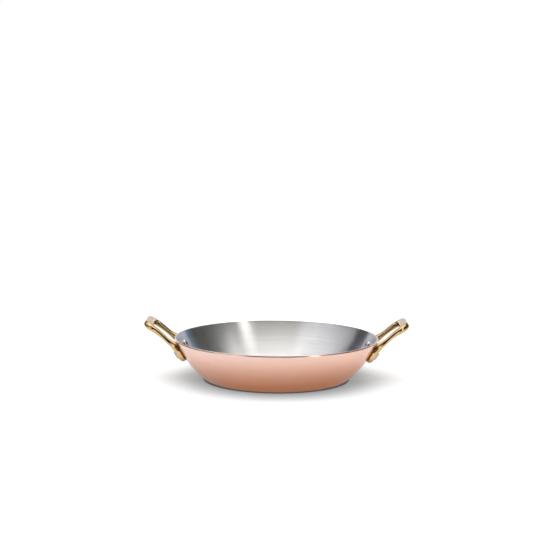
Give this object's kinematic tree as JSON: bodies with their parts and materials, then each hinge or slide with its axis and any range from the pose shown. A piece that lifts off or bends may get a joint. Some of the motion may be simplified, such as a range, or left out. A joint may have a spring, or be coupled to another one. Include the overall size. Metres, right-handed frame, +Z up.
{
  "type": "copper baking dish",
  "caption": "Round flat-based copper baking dish with a flared wall, a bonded steel lining and cast brass loop handles riveted on opposite sides.",
  "frame": {"origin": "centre of the flat underside, which stands on the table", "axes": "+Z up; +X through both handles, towards the right-hand one; +Y away from the viewer"},
  "size_m": [0.2598, 0.2012, 0.0592],
  "materials": {
    "copper": "satin-polished copper",
    "lining_steel": "fine circular brushing",
    "handle_brass": "polished casting",
    "rivet_steel": "bright, smooth"
  },
  "bodies": {
    "root": {"copper_body": "copper", "steel_lining": "lining_steel", "handle_left": "handle_brass", "handle_right": "handle_brass", "rivet_left_front": "rivet_steel", "rivet_left_back": "rivet_steel", "rivet_right_front": "rivet_steel", "rivet_right_back": "rivet_steel"}
  },
  "joints": []
}
